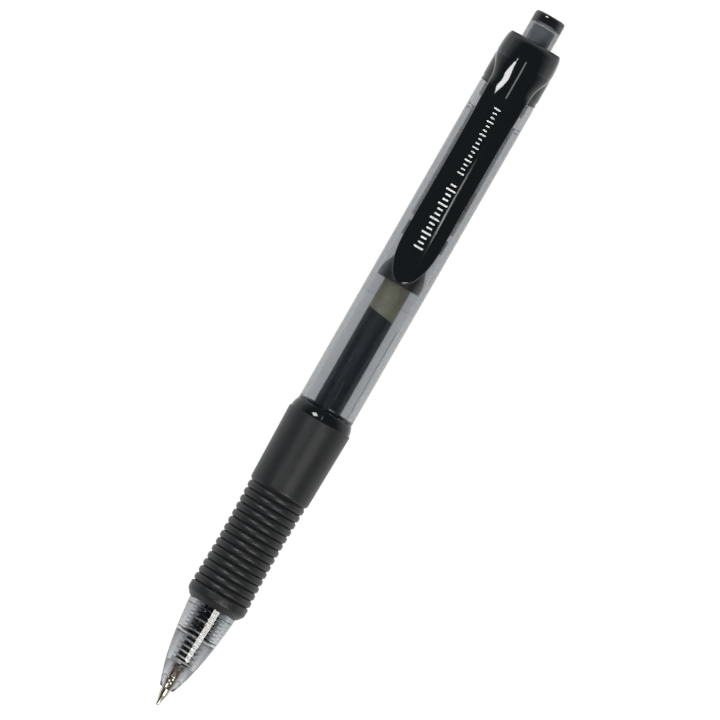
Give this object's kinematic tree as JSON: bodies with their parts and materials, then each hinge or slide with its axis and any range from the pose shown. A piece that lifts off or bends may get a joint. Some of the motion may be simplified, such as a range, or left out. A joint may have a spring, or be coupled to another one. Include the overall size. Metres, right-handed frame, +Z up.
{
  "type": "gel pen",
  "caption": "Retractable gel pen with a clear smoke barrel and nose, ribbed rubber grip, spring clip and push button, lying with its writing tip out.",
  "frame": {"origin": "on the surface that the pen lies on, under the middle of its length", "axes": "+X along the pen from the writing tip to the push button, +Z up, away from the surface and towards the clip, +Y to the side"},
  "size_m": [0.1428, 0.0124, 0.0141],
  "materials": {
    "smoke_plastic": "clear smoke, polished",
    "dark_smoke_plastic": "dark smoke, polished",
    "black_gloss_plastic": "black, polished",
    "grip_rubber": "soft matte",
    "mechanism_plastic": "satin",
    "refill_plastic": "clear",
    "gel_ink": "wet gel",
    "follower_grease": "translucent grease",
    "spring_steel": "drawn wire",
    "tip_metal": "turned nickel silver",
    "ball_carbide": "polished"
  },
  "bodies": {
    "body": {"barrel": "smoke_plastic", "grip_sleeve": "grip_rubber", "grip_collar": "dark_smoke_plastic", "top_cap": "dark_smoke_plastic", "clip_base": "black_gloss_plastic", "cam_guide": "smoke_plastic", "return_spring": "spring_steel"},
    "nose": {"nose_cone": "smoke_plastic"},
    "clip": {"clip_arm": "black_gloss_plastic"},
    "plunger": {"push_button": "smoke_plastic", "thrust_tube": "mechanism_plastic"},
    "refill": {"refill_tube": "refill_plastic", "ink_column": "gel_ink", "grease_follower": "follower_grease", "tail_plug": "mechanism_plastic", "tip_holder": "mechanism_plastic", "tip_socket": "tip_metal"},
    "rotor": {"cam_rotor": "mechanism_plastic"},
    "ball": {"writing_ball": "ball_carbide"}
  },
  "joints": [
    {"name": "button_press", "type": "slide", "parent": "body", "child": "plunger", "axis": [-1, 0, 0], "range_m": [-0.0055, 0.001], "stiffness_N_per_m": 250},
    {"name": "refill_travel", "type": "slide", "parent": "body", "child": "refill", "axis": [-1, 0, 0], "range_m": [-0.0055, 0.001], "deforming": ["return_spring"]},
    {"name": "rotor_turn", "type": "hinge", "parent": "refill", "child": "rotor", "pos_m": [0.0158, 0, 0.00619], "axis": [1, 0, 0], "continuous": true},
    {"name": "ball_roll", "type": "hinge", "parent": "refill", "child": "ball", "pos_m": [-0.07105, 0, 0.00619], "axis": [0, 1, 0], "continuous": true},
    {"name": "nose_off", "type": "slide", "parent": "body", "child": "nose", "axis": [-1, 0, 0], "range_m": [0, 0.026]},
    {"name": "clip_flex", "type": "hinge", "parent": "body", "child": "clip", "pos_m": [0.05585, 0, 0.01309], "axis": [0, 1, 0], "range_deg": [0, 4], "stiffness_Nm_per_rad": 1}
  ],
  "couplings": [
    {"joint": "refill_travel", "follows": "button_press", "ratio": 1}
  ]
}
